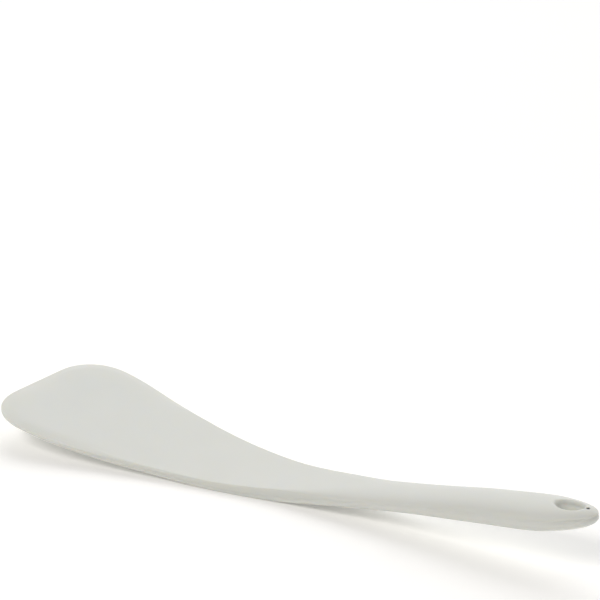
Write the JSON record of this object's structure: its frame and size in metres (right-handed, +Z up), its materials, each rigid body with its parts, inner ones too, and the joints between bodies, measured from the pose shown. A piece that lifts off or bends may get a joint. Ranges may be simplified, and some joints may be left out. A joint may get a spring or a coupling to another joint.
{
  "type": "offset spatula",
  "caption": "One-piece silicone turner with a wide curved blade, a slim neck and a raised oval handle with a hang hole.",
  "frame": {"origin": "centre of the footprint box, on the surface that the belly of the blade rests on", "axes": "+Z up from the resting surface, -X towards the front edge of the blade, +X towards the tip of the handle, Y across the blade"},
  "size_m": [0.3, 0.0792, 0.0317],
  "materials": {
    "silicone": "matte light warm-grey moulded silicone",
    "nylon": "dark glass-filled nylon, as moulded",
    "spring_steel": "thin cold-rolled spring steel strip, perforated"
  },
  "bodies": {
    "root": {"silicone_body": "silicone", "handle_core": "nylon", "blade_plate": "spring_steel"}
  },
  "joints": []
}
